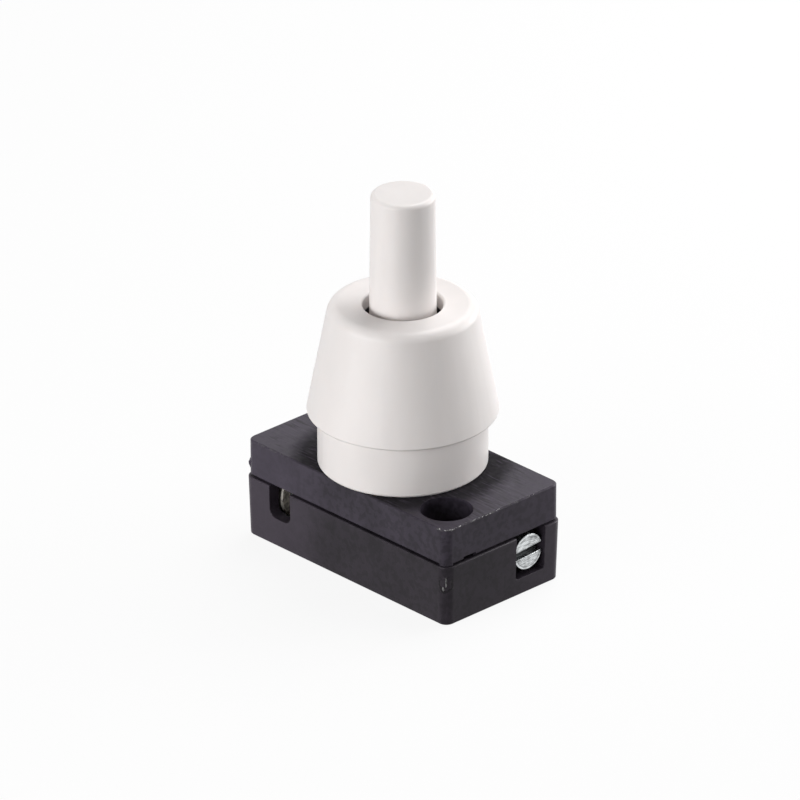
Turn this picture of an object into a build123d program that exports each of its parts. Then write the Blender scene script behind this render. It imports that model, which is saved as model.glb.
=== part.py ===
from build123d import *
from math import atan2, degrees, radians, sin
import os

# Press-on, press-off lamp switch. Millimetres, +Z up.
# The origin is the centre of the base's underside, X runs along the long side of the box.

# Base moulding
base_length = 30.0
base_width = 16.6
base_height = 6.7
base_taper = 0.22           # how far each side leans in from the rim to the foot
corner_radius = 1.2
foot_chamfer = 0.12
rim_chamfer = 0.1
floor_thickness = 1.6
wall_thickness = 1.4

# Cover moulding
cover_height = 4.15
cover_inset = 0.22          # step in from the base's rim
cover_edge_chamfer = 0.14
roof_thickness = 1.65
shadow_line_height = 0.25   # groove that marks the seam, closed at the riveted corners
shadow_line_depth = 0.3
pry_notch_width = 1.7
pry_notch_height = 0.45
pry_notch_depth = 1.2
pry_notch_offset = 4.75
relief_height = 2.2         # room over each terminal

# Threaded neck, plain at its crests
neck_diameter = 9.9
neck_headroom = 0.6
neck_chamfer = 0.5
neck_bore_clearance = 0.09

# Spacer ring, a shallow cup
ring_diameter = 17.5
ring_height = 5.8
ring_floor = 1.5
ring_wall = 1.4
ring_edge_chamfer = 0.25
ring_bore_clearance = 0.15

# Conical nut, hollow round a threaded hub
nut_foot_diameter = 19.8
nut_top_diameter = 15.2
nut_height = 12.05
nut_wall = 1.6
nut_roof = 2.4
nut_shoulder_radius = 1.2
nut_foot_chamfer = 0.2
nut_hole_diameter = 8.25
nut_hole_chamfer = 0.18
nut_hub_wall = 1.1
nut_hub_lift = 0.6
nut_hollow_depth = 7.8
nut_rib_thickness = 1.2
nut_rib_count = 4
nut_seat_gap = 0.05
thread_clearance = 0.05

# Plunger
plunger_diameter = 6.92
plunger_top_diameter = 6.6
plunger_reach = 12.3
plunger_edge_radius = 0.5
plunger_bore_diameter = 4.7
plunger_crown = 23.5        # solid length above the spring's bore

# Ratchet: the plunger's vanes press on the rotor's helical ramps
tooth_count = 4
drive_turn = 70.0
vane_turn = 12.0
crest_turn = 4.0
vane_height = 1.35
vane_root = 0.4
ramp_gap = 0.1
stop_gap = 0.05
key_reach = 1.05
key_clearance = 0.1

# Rotor and its pivot post
rotor_disc = 1.4
rotor_floor_gap = 0.1
crown_clearance = 0.19
crown_wall = 1.5
guide_clearance = 0.25
guide_wall = 0.95
well_clearance = 0.25
post_diameter = 2.16
post_height = 2.8
pivot_clearance = 0.07

# Contacts
bridge_width = 2.6
bridge_thickness = 0.5
bridge_lift = 0.45
bridge_reach = 0.55
leaf_gap = 0.13
leaf_bump = 0.22
leaf_bump_width = 2.4
leaf_height = 2.7
leaf_headroom = 0.3
strip_thickness = 0.5
strip_fold_radius = 0.8
strip_fold_offset = 2.6
strip_end_gap = 0.4
strip_head_gap = 0.2
strip_side_gap = 0.05
collar_length = 0.95
collar_wall = 0.55

# Terminal screws and clamp washers
screw_diameter = 2.9
screw_clearance = 0.05
screw_point = 0.4
head_diameter = 3.9
head_length = 2.6
head_recess = 0.4
head_chamfer = 0.25
driver_slot_width = 0.85
driver_slot_depth = 1.0
driver_slot_tilt = 3.4
washer_diameter = 5.5
washer_thickness = 0.8
washer_chamfer = 0.15
washer_floor_gap = 0.05
washer_side_gap = 0.4
washer_bore_clearance = 0.1
window_clearance = 0.06
window_drop = 0.55
window_corner_radius = 0.3
wire_sill = 3.2
wire_slot_radius = 0.9
wire_slot_flat = 0.3         # least flat left between the slot's rounded corners
pocket_gap = 0.3

# Housing rivets
rivet_end_inset = 3.93
rivet_side_inset = 3.83
rivet_diameter = 2.4
rivet_bore = 1.5
rivet_clearance = 0.05
rivet_flange_diameter = 4.4
rivet_flange_thickness = 0.5
rivet_chamfer = 0.12
recess_diameter = 5.44
recess_floor = 0.9
foot_recess_diameter = 4.9
foot_recess_depth = 1.3

# Return spring
spring_wire = 0.45
spring_diameter = 3.5
spring_coils = 5
spring_side_count = 6       # round wire, drawn with a few flat sides
spring_end_gap = 0.03

overcut = 1.0               # how far a cut runs on past the face that it opens

# Heights that follow from the sizes above
seam_z = base_height
cover_top_z = seam_z + cover_height
roof_z = cover_top_z - roof_thickness
ring_top_z = cover_top_z + ring_height
nut_foot_z = ring_top_z + nut_seat_gap
nut_top_z = nut_foot_z + nut_height
nut_roof_z = nut_top_z - nut_roof
neck_top_z = nut_roof_z - neck_headroom
plunger_top_z = nut_top_z + plunger_reach
spring_bore_z = plunger_top_z - plunger_crown
leaf_top_z = floor_thickness + leaf_height
guide_foot_z = leaf_top_z + leaf_headroom

# Radii of the mechanism, from the plunger outwards
plunger_radius = plunger_diameter / 2
neck_radius = neck_diameter / 2
crown_inner = plunger_radius + crown_clearance
crown_outer = crown_inner + crown_wall
guide_inner = crown_outer + guide_clearance
guide_outer = guide_inner + guide_wall
key_radius = crown_outer + key_reach
well_radius = guide_outer + well_clearance
bridge_radius = crown_outer + bridge_reach
post_radius = post_diameter / 2

# Ratchet: one ramp fills a tooth's share of the turn but for its crest
tooth_turn = 360 / tooth_count
ramp_turn = tooth_turn - crest_turn
rotor_foot_z = floor_thickness + rotor_floor_gap
disc_top_z = rotor_foot_z + rotor_disc
vane_top_z = roof_z - stop_gap
crest_z = vane_top_z - vane_height - ramp_gap
ramp_height = crest_z - disc_top_z
ramp_slope = ramp_height / ramp_turn
stroke = ramp_slope * drive_turn
vane_drop = ramp_slope * vane_turn
vane_foot_z = crest_z + ramp_gap - vane_drop
vane_start = (tooth_turn - vane_turn) / 2
ramp_start = vane_start + vane_turn - ramp_turn
key_width = 2 * key_radius * sin(radians(vane_turn / 2))

# Terminals: the one at +X, +Y; its twin is turned half round
washer_radius = washer_diameter / 2
head_radius = head_diameter / 2
screw_radius = screw_diameter / 2
inner_wall_y = base_width / 2 - wall_thickness
inner_wall_x = base_length / 2 - wall_thickness
terminal_y = inner_wall_y - washer_side_gap - washer_radius
terminal_z = floor_thickness + washer_floor_gap + washer_radius
head_face_x = base_length / 2 - head_recess
head_seat_x = head_face_x - head_length
washer_face_x = head_seat_x - washer_thickness
leaf_x = bridge_radius + leaf_gap + leaf_bump + strip_thickness / 2
plate_x = leaf_x + 2 * strip_fold_radius
plate_face_x = plate_x + strip_thickness / 2
plate_back_x = plate_x - strip_thickness / 2
wire_slot_width = washer_face_x - plate_face_x
screw_tip_x = plate_back_x - collar_length - screw_point
strip_end_y = inner_wall_y - strip_end_gap
strip_top_z = seam_z - strip_head_gap
leaf_end_y = terminal_y - screw_radius - strip_end_gap
pocket_side_y = terminal_y - washer_radius - pocket_gap
pocket_depth = inner_wall_y - pocket_side_y
pocket_mid_y = (inner_wall_y + pocket_side_y) / 2
rivet_x = base_length / 2 - rivet_end_inset
rivet_y = rivet_side_inset - base_width / 2


def terminal_plane(x):
    """Plane across a terminal screw's axis, facing outwards, its x direction level."""
    return Plane(origin=(x, terminal_y, terminal_z), x_dir=(0, 1, 0), z_dir=(1, 0, 0))


def ramp_face(inner_radius, outer_radius, turn, rise):
    """Screw surface between two helices that start on +X at height 0."""
    pitch = rise * 360 / turn
    inner_edge = Helix(pitch, rise, inner_radius)
    outer_edge = Helix(pitch, rise, outer_radius)
    return Face.make_surface_from_curves(inner_edge.edge(), outer_edge.edge())


def save(piece, name):
    """Label a finished piece and write its STEP file."""
    piece.label = name
    export_step(piece, f"parts/{name}.step")


def save_pair(piece, name):
    """Write a piece and its twin, turned half round."""
    save(piece, f"{name}_a")
    save(piece.rotate(Axis.Z, 180), f"{name}_b")


os.makedirs("parts", exist_ok=True)

# Cutter: slot in the long wall where a wire comes in, between clamp washer and terminal plate
with BuildPart() as wire_slot:
    with BuildSketch(Plane.XZ.offset(-base_width / 2 - overcut)) as slot_outline:
        with Locations(((plate_face_x + washer_face_x) / 2, (wire_sill + seam_z + overcut) / 2)):
            Rectangle(wire_slot_width, seam_z + overcut - wire_sill)
        fillet(
            slot_outline.vertices().group_by(Axis.Y)[0],
            min(wire_slot_radius, (wire_slot_width - wire_slot_flat) / 2),
        )
    extrude(amount=wall_thickness + 2 * overcut)

# Cutter: end window that a screw head looks out of
window_foot_z = terminal_z - head_radius - window_drop
with BuildPart() as window:
    with BuildSketch(Plane.XY.offset(window_foot_z)):
        with Locations((inner_wall_x + wall_thickness / 2, terminal_y)):
            Rectangle(wall_thickness + 2 * overcut, head_diameter + 2 * window_clearance)
    extrude(amount=seam_z + overcut - window_foot_z)
    fillet(window.edges().filter_by(Axis.X).group_by(Axis.Z)[0], window_corner_radius)

# Base: a thick-walled box that leans in a little towards its foot
with BuildPart() as base:
    with BuildSketch(Plane.XY.offset(seam_z)):
        RectangleRounded(base_length, base_width, corner_radius)
    extrude(amount=-base_height, taper=degrees(atan2(base_taper, base_height)))
    chamfer(base.faces().sort_by(Axis.Z)[0].edges(), foot_chamfer)
    chamfer(base.faces().sort_by(Axis.Z)[-1].edges(), rim_chamfer)
    # Round well for the rotor, a bay for each contact strip, a pocket for each terminal
    bay_foot_y = -strip_fold_offset - strip_fold_radius - strip_thickness
    bay_back_x = plate_face_x + strip_side_gap
    with BuildSketch(Plane.XY.offset(floor_thickness)):
        Circle(well_radius)
        with PolarLocations(0, 2):
            with Locations((bay_back_x / 2, (bay_foot_y + inner_wall_y) / 2)):
                Rectangle(bay_back_x, inner_wall_y - bay_foot_y)
            with Locations(((plate_x + inner_wall_x) / 2, pocket_mid_y)):
                Rectangle(inner_wall_x - plate_x, pocket_depth)
    extrude(amount=base_height - floor_thickness + overcut, mode=Mode.SUBTRACT)
    with PolarLocations(0, 2):
        add(wire_slot.part, mode=Mode.SUBTRACT)
        add(window.part, mode=Mode.SUBTRACT)
    # Post that the rotor turns on
    with BuildSketch(Plane.XY.offset(floor_thickness)):
        Circle(post_radius)
    extrude(amount=post_height)
    # Rivet holes, sunk on the underside
    with Locations(Plane.XY.rotated((180, 0, 0))):
        with Locations((rivet_x, -rivet_y), (-rivet_x, rivet_y)):
            CounterBoreHole(
                rivet_diameter / 2 + rivet_clearance, foot_recess_diameter / 2, foot_recess_depth
            )
save(base.part, "base")

# Cover: a roof block with a groove along the seam
cover_length = base_length - 2 * cover_inset
cover_width = base_width - 2 * cover_inset
cover_corner = corner_radius - cover_inset
seam_length = cover_length - 2 * shadow_line_depth
seam_width = cover_width - 2 * shadow_line_depth
with BuildPart() as cover:
    with BuildSketch(Plane.XY.offset(seam_z)):
        RectangleRounded(cover_length, cover_width, cover_corner)
    extrude(amount=cover_height)
    chamfer(cover.faces().sort_by(Axis.Z)[-1].edges(), cover_edge_chamfer)
    with BuildSketch(Plane.XY.offset(seam_z)):
        Rectangle(base_length, base_width)
        RectangleRounded(seam_length, seam_width, cover_corner, mode=Mode.SUBTRACT)
        with Locations((cover_length / 2, -cover_width / 2), (-cover_length / 2, cover_width / 2)):
            Rectangle(2 * cover_corner, 2 * cover_corner, mode=Mode.SUBTRACT)
    extrude(amount=shadow_line_height, mode=Mode.SUBTRACT)
    # Neck for the nut, and below it the tube that guides the plunger's vanes
    with BuildSketch(Plane.XY.offset(cover_top_z)):
        Circle(neck_radius)
    extrude(amount=neck_top_z - cover_top_z)
    chamfer(cover.faces().sort_by(Axis.Z)[-1].edges(), neck_chamfer)
    with BuildSketch(Plane.XY.offset(guide_foot_z)):
        Circle(guide_outer)
    extrude(amount=seam_z - guide_foot_z)
    with BuildSketch(Plane.XY.offset(guide_foot_z)):
        Circle(guide_inner)
        with PolarLocations(0, tooth_count, start_angle=tooth_turn / 2):
            with Locations((guide_outer / 2, 0)):
                Rectangle(guide_outer, key_width + 2 * key_clearance)
    extrude(amount=roof_z - guide_foot_z, mode=Mode.SUBTRACT)
    with BuildSketch(Plane.XY.offset(roof_z)):
        Circle(plunger_radius + neck_bore_clearance)
    extrude(amount=neck_top_z - roof_z, mode=Mode.SUBTRACT)
    # Room over the terminals
    with BuildSketch(Plane.XY.offset(seam_z)):
        with PolarLocations(0, 2):
            with Locations(((plate_back_x + inner_wall_x) / 2, pocket_mid_y)):
                Rectangle(inner_wall_x - plate_back_x, pocket_depth)
    extrude(amount=relief_height, mode=Mode.SUBTRACT)
    # Rivet holes, sunk deep into the roof
    with Locations((rivet_x, rivet_y, cover_top_z), (-rivet_x, -rivet_y, cover_top_z)):
        CounterBoreHole(
            rivet_diameter / 2 + rivet_clearance, recess_diameter / 2, cover_height - recess_floor
        )
    # Notch at each end to pry the cover off
    with BuildSketch(Plane.XY.offset(seam_z)):
        with PolarLocations(0, 2):
            with Locations((base_length / 2 - pry_notch_depth / 2, -pry_notch_offset)):
                Rectangle(pry_notch_depth, pry_notch_width)
    extrude(amount=pry_notch_height, mode=Mode.SUBTRACT)
save(cover.part, "cover")

# Spacer ring: a cup that stands round the neck
ring_radius = ring_diameter / 2
with BuildPart() as spacer_ring:
    with BuildSketch(Plane.XY.offset(cover_top_z)):
        Circle(ring_radius)
    extrude(amount=ring_height)
    chamfer(spacer_ring.faces().sort_by(Axis.Z)[0].edges(), ring_edge_chamfer)
    with BuildSketch(Plane.XY.offset(cover_top_z + ring_floor)):
        Circle(ring_radius - ring_wall)
    extrude(amount=ring_height - ring_floor, mode=Mode.SUBTRACT)
    with BuildSketch(Plane.XY.offset(cover_top_z)):
        Circle(neck_radius + ring_bore_clearance)
    extrude(amount=ring_floor, mode=Mode.SUBTRACT)
save(spacer_ring.part, "spacer_ring")

# Cutter: the hollow between the nut's cone and its hub, parted by ribs
nut_foot_radius_out = nut_foot_diameter / 2
nut_top_radius = nut_top_diameter / 2
nut_lean = (nut_foot_radius_out - nut_top_radius) / nut_height
hub_radius = neck_radius + thread_clearance + nut_hub_wall
hollow_foot_radius = nut_foot_radius_out - nut_wall
hollow_top_radius = hollow_foot_radius - nut_lean * nut_hollow_depth
with BuildPart() as nut_hollow:
    with BuildSketch(Plane.XZ):
        with BuildLine():
            Polyline(
                (hub_radius, nut_foot_z - overcut),
                (hollow_foot_radius + nut_lean * overcut, nut_foot_z - overcut),
                (hollow_top_radius, nut_foot_z + nut_hollow_depth),
                (hub_radius, nut_foot_z + nut_hollow_depth),
                close=True,
            )
        make_face()
    revolve(axis=Axis.Z)
    with BuildSketch(Plane.XY.offset(nut_foot_z + nut_hub_lift)):
        with PolarLocations(0, nut_rib_count, start_angle=180 / nut_rib_count):
            with Locations((nut_foot_radius_out / 2, 0)):
                Rectangle(nut_foot_radius_out, nut_rib_thickness)
    extrude(amount=nut_hollow_depth, mode=Mode.SUBTRACT)

# Conical nut: cone with rounded shoulder, hole for the plunger, hub for the neck's thread
with BuildPart() as cone_nut:
    with BuildSketch(Plane.XZ):
        with BuildLine():
            Polyline(
                (0, nut_foot_z),
                (nut_foot_radius_out, nut_foot_z),
                (nut_top_radius, nut_top_z),
                (0, nut_top_z),
                close=True,
            )
        make_face()
    revolve(axis=Axis.Z)
    fillet(cone_nut.faces().sort_by(Axis.Z)[-1].edges(), nut_shoulder_radius)
    chamfer(cone_nut.faces().sort_by(Axis.Z)[0].edges(), nut_foot_chamfer)
    with BuildSketch(Plane.XY.offset(nut_foot_z)):
        Circle(nut_hole_diameter / 2)
    extrude(amount=nut_height, mode=Mode.SUBTRACT)
    chamfer(cone_nut.faces().sort_by(Axis.Z)[-1].inner_wires()[0].edges(), nut_hole_chamfer)
    with BuildSketch(Plane.XY.offset(nut_foot_z)):
        Circle(neck_radius + thread_clearance)
    extrude(amount=nut_height - nut_roof, mode=Mode.SUBTRACT)
    with BuildSketch(Plane.XY.offset(nut_foot_z)):
        Circle(hub_radius)
    extrude(amount=nut_hub_lift, mode=Mode.SUBTRACT)
    add(nut_hollow.part, mode=Mode.SUBTRACT)
save(cone_nut.part, "cone_nut")

# One vane of the plunger: its underside is a screw surface that matches the ramps
with BuildPart() as vane:
    extrude(
        ramp_face(plunger_radius - vane_root, key_radius, vane_turn, vane_drop),
        amount=vane_top_z - vane_foot_z,
        dir=(0, 0, 1),
    )
    split(bisect_by=Plane.XY.offset(vane_top_z - vane_foot_z), keep=Keep.BOTTOM)

# Plunger: slim rod, tapered above the nut, bored from below for the return spring
with BuildPart() as plunger:
    with BuildSketch(Plane.XZ):
        with BuildLine():
            Polyline(
                (0, vane_foot_z),
                (plunger_radius, vane_foot_z),
                (plunger_radius, nut_roof_z),
                (plunger_top_diameter / 2, plunger_top_z),
                (0, plunger_top_z),
                close=True,
            )
        make_face()
    revolve(axis=Axis.Z)
    fillet(plunger.faces().sort_by(Axis.Z)[-1].edges(), plunger_edge_radius)
    with Locations((0, 0, vane_foot_z)):
        with PolarLocations(0, tooth_count, start_angle=vane_start):
            add(vane.part)
    with BuildSketch(Plane.XY.offset(vane_foot_z)):
        Circle(plunger_bore_diameter / 2)
    extrude(amount=spring_bore_z - vane_foot_z, mode=Mode.SUBTRACT)
save(plunger.part, "plunger")

# Contact bridge: bar with round ends, moulded into the rotor
with BuildPart() as contact_bridge:
    with BuildSketch(Plane.XY.offset(rotor_foot_z + bridge_lift)):
        Circle(bridge_radius)
        Rectangle(bridge_width, 2 * bridge_radius, mode=Mode.INTERSECT)
        Circle(post_radius + pivot_clearance, mode=Mode.SUBTRACT)
    extrude(amount=bridge_thickness)
save(contact_bridge.part, "contact_bridge")

# Cutter: all that is above one ramp of the rotor's crown
with BuildPart() as ramp_cutter:
    extrude(
        ramp_face(crown_inner - overcut, crown_outer + overcut, ramp_turn, ramp_height),
        amount=ramp_height + overcut,
        dir=(0, 0, 1),
    )

# Rotor: disc with a crown of saw teeth
with BuildPart() as rotor:
    with BuildSketch(Plane.XY.offset(rotor_foot_z)):
        Circle(crown_outer)
        Circle(post_radius + pivot_clearance, mode=Mode.SUBTRACT)
    extrude(amount=rotor_disc)
    with BuildSketch(Plane.XY.offset(disc_top_z)):
        Circle(crown_outer)
        Circle(crown_inner, mode=Mode.SUBTRACT)
    extrude(amount=ramp_height)
    with Locations((0, 0, disc_top_z)):
        with PolarLocations(0, tooth_count, start_angle=ramp_start):
            add(ramp_cutter.part, mode=Mode.SUBTRACT)
    add(contact_bridge.part, mode=Mode.SUBTRACT)
save(rotor.part, "rotor")

# Return spring: from the rotor's disc up into the plunger's bore
spring_foot_z = disc_top_z + spring_wire / 2 + spring_end_gap
spring_length = spring_bore_z - spring_wire / 2 - spring_end_gap - spring_foot_z
with BuildPart() as return_spring:
    with BuildLine() as coil:
        Helix(spring_length / spring_coils, spring_length, spring_diameter / 2, (0, 0, spring_foot_z))
    with BuildSketch(Plane(origin=coil.line @ 0, z_dir=coil.line % 0)):
        RegularPolygon(spring_wire / 2, spring_side_count)
    sweep(path=coil.line, is_frenet=True)
save(return_spring.part, "return_spring")

# Contact strip: folded brass, terminal plate on one side of the fold and sprung leaf on the other
with BuildPart() as contact_strip:
    with BuildSketch(Plane.XY.offset(floor_thickness)):
        with BuildLine():
            Line((plate_x, strip_end_y), (plate_x, -strip_fold_offset))
            ThreePointArc(
                (plate_x, -strip_fold_offset),
                (plate_x - strip_fold_radius, -strip_fold_offset - strip_fold_radius),
                (leaf_x, -strip_fold_offset),
            )
            Line((leaf_x, -strip_fold_offset), (leaf_x, -leaf_bump_width / 2))
            ThreePointArc(
                (leaf_x, -leaf_bump_width / 2), (leaf_x - leaf_bump, 0), (leaf_x, leaf_bump_width / 2)
            )
            Line((leaf_x, leaf_bump_width / 2), (leaf_x, leaf_end_y))
        trace(line_width=strip_thickness)
    extrude(amount=strip_top_z - floor_thickness)
    # The leaf and the fold are lower than the plate
    with BuildSketch(Plane.XY.offset(leaf_top_z)):
        with Locations((plate_back_x / 2, 0)):
            Rectangle(plate_back_x, base_width)
        with Locations((plate_x, pocket_side_y - base_width / 2)):
            Rectangle(base_length / 2, base_width)
    extrude(amount=strip_top_z - leaf_top_z, mode=Mode.SUBTRACT)
    # Drawn collar that takes the screw's thread
    with BuildSketch(terminal_plane(plate_back_x - collar_length)):
        Circle(screw_radius + screw_clearance + collar_wall)
    extrude(amount=collar_length)
    with BuildSketch(terminal_plane(plate_back_x - collar_length)):
        Circle(screw_radius + screw_clearance)
    extrude(amount=collar_length + strip_thickness, mode=Mode.SUBTRACT)
save_pair(contact_strip.part, "contact_strip")

# Terminal screw: tall slotted head, plain shank at the thread's crests
with BuildPart() as terminal_screw:
    with BuildSketch(terminal_plane(screw_tip_x)):
        Circle(screw_radius)
    extrude(amount=head_seat_x - screw_tip_x)
    chamfer(terminal_screw.faces().sort_by(Axis.X)[0].edges(), screw_point)
    with BuildSketch(terminal_plane(head_seat_x)):
        Circle(head_radius)
    extrude(amount=head_length)
    chamfer(terminal_screw.faces().sort_by(Axis.X)[-1].edges(), head_chamfer)
    with BuildSketch(terminal_plane(head_face_x - driver_slot_depth)):
        Rectangle(head_diameter + overcut, driver_slot_width, rotation=driver_slot_tilt)
    extrude(amount=driver_slot_depth, mode=Mode.SUBTRACT)
save_pair(terminal_screw.part, "terminal_screw")

# Clamp washer: brass disc that presses the wire on the terminal plate
with BuildPart() as clamp_washer:
    with BuildSketch(terminal_plane(washer_face_x)):
        Circle(washer_radius)
    extrude(amount=washer_thickness)
    chamfer(clamp_washer.edges().filter_by(GeomType.CIRCLE), washer_chamfer)
    with BuildSketch(terminal_plane(washer_face_x)):
        Circle(screw_radius + washer_bore_clearance)
    extrude(amount=washer_thickness, mode=Mode.SUBTRACT)
save_pair(clamp_washer.part, "clamp_washer")

# Tubular rivet: one flange under the base, the other rolled over in the cover's recess
rivet_foot_z = foot_recess_depth - rivet_flange_thickness
rivet_seat_z = seam_z + recess_floor
with BuildPart() as housing_rivet:
    for flange_z in (rivet_foot_z, rivet_seat_z):
        with BuildSketch(Plane.XY.offset(flange_z)):
            with Locations((rivet_x, rivet_y)):
                Circle(rivet_flange_diameter / 2)
        extrude(amount=rivet_flange_thickness)
    chamfer(housing_rivet.faces().sort_by(Axis.Z)[-1].edges(), rivet_chamfer)
    chamfer(housing_rivet.faces().sort_by(Axis.Z)[0].edges(), rivet_chamfer)
    with BuildSketch(Plane.XY.offset(foot_recess_depth)):
        with Locations((rivet_x, rivet_y)):
            Circle(rivet_diameter / 2)
    extrude(amount=rivet_seat_z - foot_recess_depth)
    with BuildSketch(Plane.XY.offset(rivet_foot_z)):
        with Locations((rivet_x, rivet_y)):
            Circle(rivet_bore / 2)
    extrude(amount=rivet_seat_z + rivet_flange_thickness - rivet_foot_z, mode=Mode.SUBTRACT)
save_pair(housing_rivet.part, "housing_rivet")

print(f"stroke {stroke:.4f} mm, rotor turn {drive_turn:.1f} degrees")
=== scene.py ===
"""Looks of a press-on, press-off lamp switch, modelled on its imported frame. Metres, +Z up."""

import math
import random

import bmesh
import bpy
import mathutils.noise
from mathutils import Matrix, Vector


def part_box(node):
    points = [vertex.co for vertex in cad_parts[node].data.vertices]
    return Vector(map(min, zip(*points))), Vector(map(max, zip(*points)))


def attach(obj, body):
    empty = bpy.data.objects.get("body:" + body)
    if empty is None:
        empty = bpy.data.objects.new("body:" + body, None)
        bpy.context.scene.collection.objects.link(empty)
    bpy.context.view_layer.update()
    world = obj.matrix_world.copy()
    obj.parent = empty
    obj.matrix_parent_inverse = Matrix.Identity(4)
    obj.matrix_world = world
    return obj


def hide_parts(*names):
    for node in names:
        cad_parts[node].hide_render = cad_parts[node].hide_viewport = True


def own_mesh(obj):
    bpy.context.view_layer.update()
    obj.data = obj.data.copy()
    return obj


bl_info = {
    "name": "Lamp Switch Looks",
    "version": (1, 0, 0),
    "blender": (4, 5, 0),
    "location": "View3D > Sidebar > Switch",
    "description": "Dresses a pushbutton lamp switch and sets up its studio",
    "category": "Object",
}

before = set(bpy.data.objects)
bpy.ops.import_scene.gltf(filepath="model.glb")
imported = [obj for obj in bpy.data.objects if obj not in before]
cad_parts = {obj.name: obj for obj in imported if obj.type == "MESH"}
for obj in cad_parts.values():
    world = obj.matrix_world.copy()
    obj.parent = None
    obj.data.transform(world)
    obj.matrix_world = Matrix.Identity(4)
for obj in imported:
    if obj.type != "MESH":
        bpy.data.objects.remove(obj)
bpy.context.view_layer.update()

MM = 0.001
MERGE_DISTANCE = 0.001 * MM
FLOOR_GAP = 0.02 * MM
FLAT_ANGLE = math.radians(0.5)
SHARP_ANGLE = math.radians(25)
SMOOTH_ANGLE = math.radians(50)
HALF_TURN = Matrix.Rotation(math.pi, 4, "Z")
FLAKE_SEED = 7

# Steps in one turn of a helix
THREAD_STEPS = 40
SPRING_STEPS = 48

# Sockets of a mix node that hold colours
FIRST_COLOUR, SECOND_COLOUR, MIXED_COLOUR = 6, 7, 2

# Headings of the two upright corners of the housing that have moulding marks
FRONT_CORNER = -math.pi / 4
FAR_CORNER = -3 * math.pi / 4

# Places read from the frame
RING_LOW, RING_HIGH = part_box("spacer_ring")
COVER_LOW, COVER_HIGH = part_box("cover")
BASE_LOW, BASE_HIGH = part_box("base")
SCREW_LOW, SCREW_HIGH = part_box("terminal_screw_a")
WASHER_LOW, WASHER_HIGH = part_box("clamp_washer_a")
SPRING_LOW, SPRING_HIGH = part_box("return_spring")
NUT_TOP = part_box("cone_nut")[1].z
COVER_TOP = RING_LOW.z
SEAM = BASE_HIGH.z
TERMINAL_Y = (SCREW_LOW.y + SCREW_HIGH.y) / 2
TERMINAL_Z = (SCREW_LOW.z + SCREW_HIGH.z) / 2
HEAD_RADIUS = (SCREW_HIGH.y - SCREW_LOW.y) / 2
HEAD_FACE = SCREW_HIGH.x
HEAD_SEAT = WASHER_HIGH.x


def length(name, description, millimetres):
    """A size in millimetres as a length property."""
    return bpy.props.FloatProperty(
        name=name, description=description, default=millimetres * MM, min=0.0, unit="LENGTH", precision=5
    )


def colour(name, description, value):
    """A linear colour property."""
    return bpy.props.FloatVectorProperty(
        name=name, description=description, default=value, min=0.0, max=1.0, size=3, subtype="COLOR"
    )


def share(name, description, value):
    """A property between nought and one."""
    return bpy.props.FloatProperty(
        name=name, description=description, default=value, min=0.0, max=1.0, subtype="FACTOR"
    )


def power(name, description, value):
    """The power of a lamp."""
    return bpy.props.FloatProperty(name=name, description=description, default=value, min=0.0, unit="POWER")


def turn(name, description, degrees):
    """An angle in degrees as an angle property."""
    return bpy.props.FloatProperty(
        name=name, description=description, default=math.radians(degrees), subtype="ANGLE"
    )


def count(name, description, value, least):
    """A whole number that has a least value."""
    return bpy.props.IntProperty(name=name, description=description, default=value, min=least)


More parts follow.
